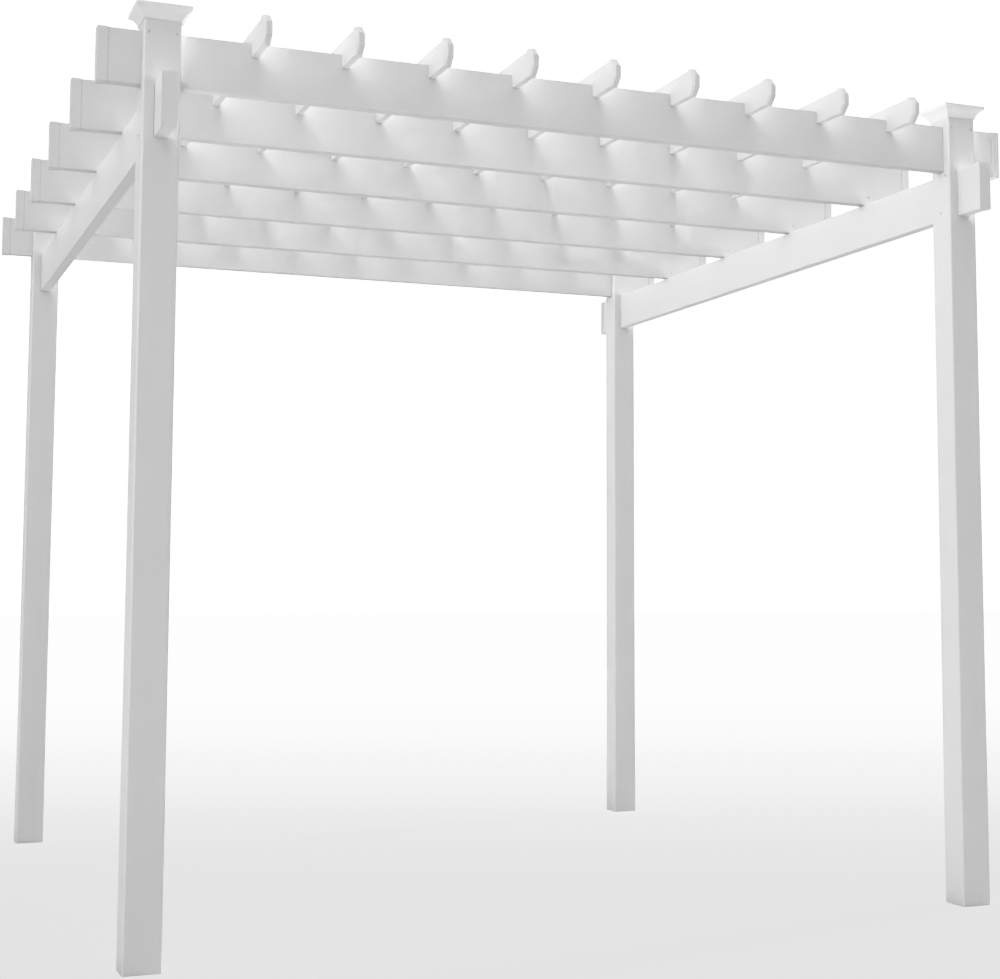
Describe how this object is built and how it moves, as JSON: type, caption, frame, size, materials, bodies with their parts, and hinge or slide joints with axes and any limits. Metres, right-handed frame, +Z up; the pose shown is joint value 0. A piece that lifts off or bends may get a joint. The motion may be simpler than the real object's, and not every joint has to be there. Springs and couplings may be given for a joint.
{
  "type": "vinyl pergola",
  "caption": "Free-standing open pergola of white hollow vinyl: square capped posts, side beams threaded through them, rafters across the beams and notched slats on top.",
  "frame": {"origin": "on the ground at the middle of the plan", "axes": "+X to the right along the rafters, +Y to the back along the beams and slats, +Z up"},
  "size_m": [2.9176, 3.0596, 2.59],
  "materials": {
    "post_vinyl": "white extruded vinyl with a satin skin",
    "beam_vinyl": "white extruded vinyl with a satin skin",
    "rafter_vinyl": "white extruded vinyl with a satin skin",
    "slat_vinyl": "white extruded vinyl with a satin skin",
    "cap_vinyl": "white moulded vinyl with a satin skin"
  },
  "bodies": {
    "root": {"post_front_left": "post_vinyl", "post_front_right": "post_vinyl", "post_back_left": "post_vinyl", "post_back_right": "post_vinyl", "cap_front_left": "cap_vinyl", "cap_front_right": "cap_vinyl", "cap_back_left": "cap_vinyl", "cap_back_right": "cap_vinyl", "beam_left": "beam_vinyl", "beam_right": "beam_vinyl", "rafter_1": "rafter_vinyl", "rafter_2": "rafter_vinyl", "rafter_3": "rafter_vinyl", "rafter_4": "rafter_vinyl", "rafter_5": "rafter_vinyl", "rafter_6": "rafter_vinyl", "slat_1": "slat_vinyl", "slat_2": "slat_vinyl", "slat_3": "slat_vinyl", "slat_4": "slat_vinyl", "slat_5": "slat_vinyl", "slat_6": "slat_vinyl", "slat_7": "slat_vinyl", "slat_8": "slat_vinyl", "slat_9": "slat_vinyl", "beam_ends_front": "cap_vinyl", "beam_ends_back": "cap_vinyl", "rafter_ends_left": "cap_vinyl", "rafter_ends_right": "cap_vinyl", "slat_ends_front": "cap_vinyl", "slat_ends_back": "cap_vinyl"}
  },
  "joints": []
}
